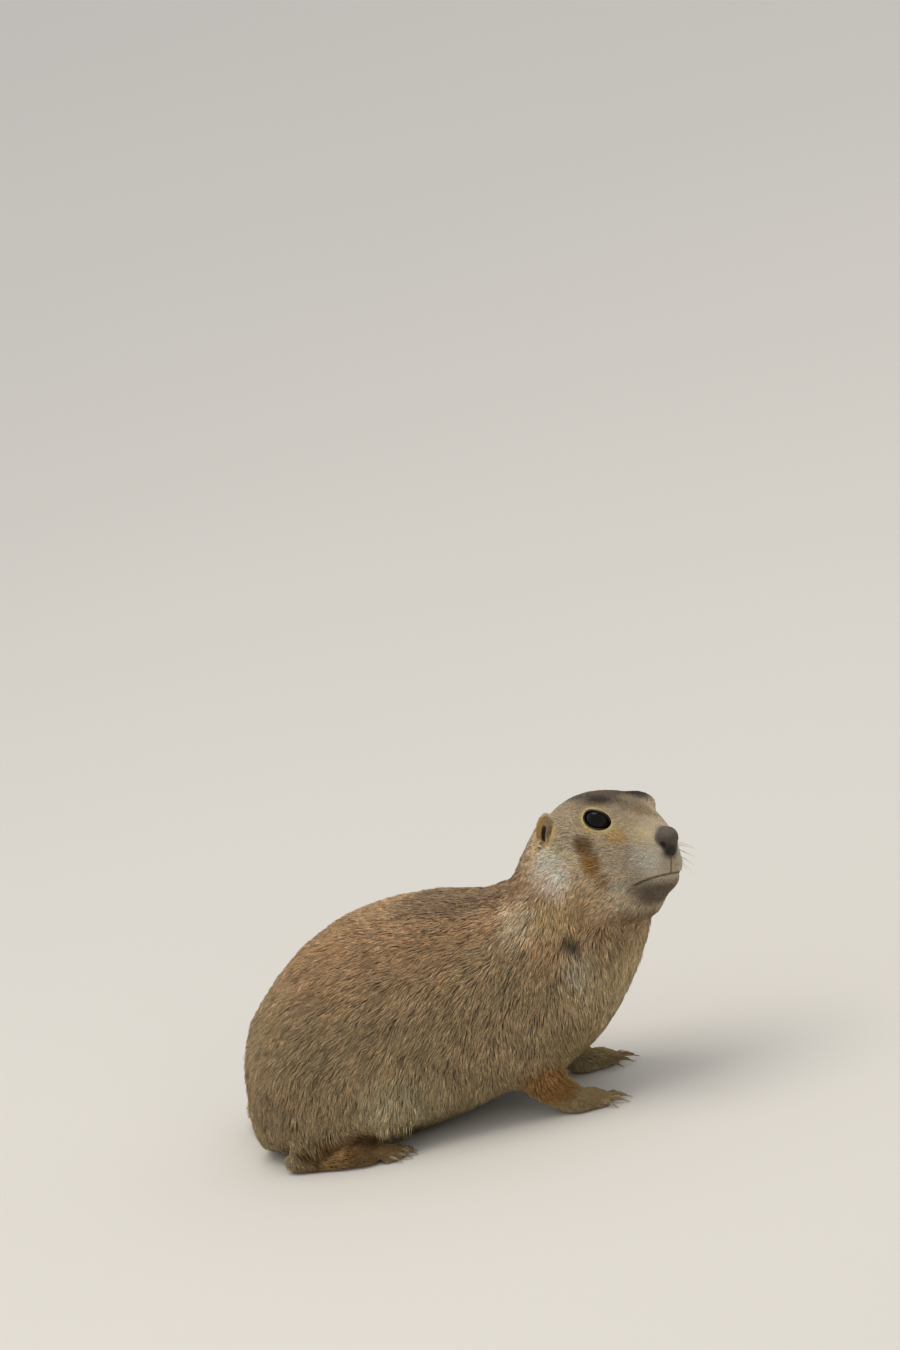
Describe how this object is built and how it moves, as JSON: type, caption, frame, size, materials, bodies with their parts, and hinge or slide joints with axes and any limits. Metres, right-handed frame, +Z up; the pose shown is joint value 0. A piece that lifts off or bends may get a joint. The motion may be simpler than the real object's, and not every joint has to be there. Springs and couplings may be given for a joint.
{
  "type": "prairie dog",
  "caption": "Life-size prairie dog crouched on all fours with its head raised and turned aside, a still model that rests on its feet and belly.",
  "frame": {"origin": "middle of the bounding box's base, on the floor", "axes": "+X the way the body points, from tail to nose, +Y the animal's left, +Z up"},
  "size_m": [0.2366, 0.1134, 0.1314],
  "materials": {
    "grizzled_fur": "matt",
    "buff_fur": "matt",
    "face_fur": "matt",
    "foot_fur": "matt",
    "ear_skin": "matt",
    "nose_skin": "satin",
    "cornea": "gloss"
  },
  "bodies": {
    "root": {"torso": "grizzled_fur", "thigh_right": "grizzled_fur", "thigh_left": "grizzled_fur", "tail": "grizzled_fur", "neck": "buff_fur", "fore_leg_right": "buff_fur", "fore_leg_left": "buff_fur", "head": "face_fur", "hind_foot_right": "foot_fur", "hind_foot_left": "foot_fur", "fore_paw_right": "foot_fur", "fore_paw_left": "foot_fur", "ear_right": "ear_skin", "ear_left": "ear_skin", "nose": "nose_skin", "eye_right": "cornea", "eye_left": "cornea"}
  },
  "joints": []
}
